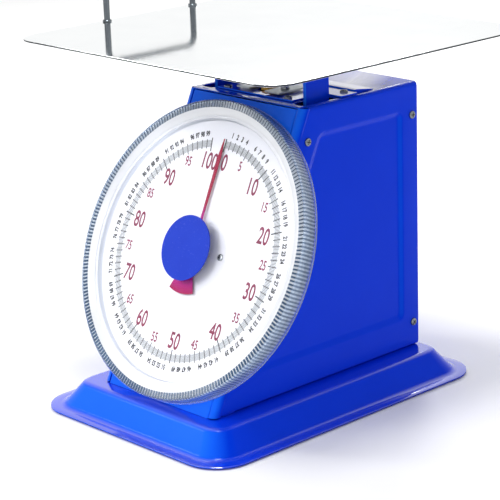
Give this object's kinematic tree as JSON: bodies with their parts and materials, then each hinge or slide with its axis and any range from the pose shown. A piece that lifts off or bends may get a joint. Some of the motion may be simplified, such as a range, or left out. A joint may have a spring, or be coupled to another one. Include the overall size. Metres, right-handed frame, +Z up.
{
  "type": "spring dial scale",
  "caption": "Counter spring scale: flat square pan on a sprung yoke, sheet-metal casing with a sloping front and a large round dial under a clear fluted cover, on a pressed tray base.",
  "frame": {"origin": "on the floor, under the middle of the outline seen from above", "axes": "+Z up, the dial faces -Y, +X to the right of someone reading the dial; the pan rail is on the left, at -X"},
  "size_m": [0.348, 0.363, 0.3854],
  "materials": {
    "blue_paint": "gloss",
    "polished_steel": "mirror polished",
    "zinc_steel": "zinc plated",
    "plain_steel": "satin",
    "spring_steel": "oiled",
    "brass": "turned",
    "rubber": "matte",
    "white_enamel": "printed enamel",
    "clear_plastic": "clear moulded",
    "blue_disc": "satin",
    "red_enamel": "satin"
  },
  "bodies": {
    "stand": {"base_tray": "blue_paint", "rubber_foot_front_left": "rubber", "rubber_foot_front_right": "rubber", "rubber_foot_back_left": "rubber", "rubber_foot_back_right": "rubber", "casing_shell": "blue_paint", "front_panel": "blue_paint", "back_cover": "blue_paint", "top_plate": "blue_paint", "top_plate_screw_front_left": "zinc_steel", "top_plate_screw_back_left": "zinc_steel", "top_plate_screw_front_right": "zinc_steel", "top_plate_screw_back_right": "zinc_steel", "clamp_plate": "zinc_steel", "clamp_screw_left": "zinc_steel", "clamp_screw_right": "zinc_steel", "dial_dish": "zinc_steel", "dial_face": "white_enamel", "dial_screw_left": "zinc_steel", "dial_screw_right": "zinc_steel", "dial_cover": "clear_plastic", "cover_disc": "blue_disc", "movement_front_plate": "plain_steel", "movement_rear_plate": "plain_steel", "front_shaft_bush": "brass", "rear_shaft_bush": "brass", "rack_guide": "brass", "mechanism_frame": "plain_steel", "upper_lever_rod": "plain_steel", "lower_lever_rod": "plain_steel", "top_bridge": "plain_steel", "overload_stop": "rubber"},
    "platform": {"load_yoke": "blue_paint", "spring_channel": "plain_steel", "yoke_crossbar": "plain_steel", "rack_hanger": "plain_steel", "lower_spring_plug_left": "plain_steel", "lower_spring_plug_right": "plain_steel", "pan_support": "plain_steel", "weighing_pan": "polished_steel", "pan_rail": "polished_steel", "rail_collar_front": "polished_steel", "rail_collar_back": "polished_steel"},
    "spring_hanger": {"spring_hanger": "plain_steel", "adjuster_bolt": "plain_steel", "upper_spring_plug_left": "plain_steel", "upper_spring_plug_right": "plain_steel", "main_spring_left": "spring_steel", "main_spring_right": "spring_steel"},
    "zero_knob": {"zero_knob": "brass"},
    "upper_lever": {"upper_lever": "plain_steel"},
    "lower_lever": {"lower_lever": "plain_steel"},
    "rack": {"rack": "brass", "rack_pin": "plain_steel"},
    "pointer": {"pinion": "brass", "pointer_shaft": "plain_steel", "pointer_hub": "brass", "needle": "red_enamel"}
  },
  "joints": [
    {"name": "platform_travel", "type": "slide", "parent": "stand", "child": "platform", "axis": [0, 0, -1], "range_m": [0, 0.02656], "stiffness_N_per_m": 36900, "springref_m": -0.001, "deforming": ["main_spring_left", "main_spring_right"]},
    {"name": "rack_slide", "type": "slide", "parent": "stand", "child": "rack", "axis": [0, -0.4235, -0.9059], "range_m": [0, 0.02935]},
    {"name": "pointer_turn", "type": "hinge", "parent": "stand", "child": "pointer", "pos_m": [0, -0.07757, 0.15398], "axis": [0, 0.9059, -0.4235], "range_deg": [0, 350.5]},
    {"name": "upper_lever_swing", "type": "hinge", "parent": "stand", "child": "upper_lever", "pos_m": [0, 0.1045, 0.20172], "axis": [1, 0, 0], "range_deg": [0, 17.7]},
    {"name": "lower_lever_swing", "type": "hinge", "parent": "stand", "child": "lower_lever", "pos_m": [0, 0.1045, 0.06672], "axis": [1, 0, 0], "range_deg": [0, 17.7]},
    {"name": "hanger_lift", "type": "slide", "parent": "stand", "child": "spring_hanger", "axis": [0, 0, 1], "range_m": [-0.00187, 0.00187]},
    {"name": "zero_knob_turn", "type": "hinge", "parent": "stand", "child": "zero_knob", "pos_m": [0, 0.0185, 0.2886], "axis": [0, 0, 1], "range_deg": [-541, 541]}
  ],
  "couplings": [
    {"joint": "rack_slide", "follows": "platform_travel", "ratio": 1.1039},
    {"joint": "pointer_turn", "follows": "platform_travel", "rad_per_m": 229.98},
    {"joint": "upper_lever_swing", "follows": "platform_travel", "rad_per_m": 11.537},
    {"joint": "lower_lever_swing", "follows": "platform_travel", "rad_per_m": 11.537},
    {"joint": "zero_knob_turn", "follows": "hanger_lift", "rad_per_m": -5026.5}
  ]
}
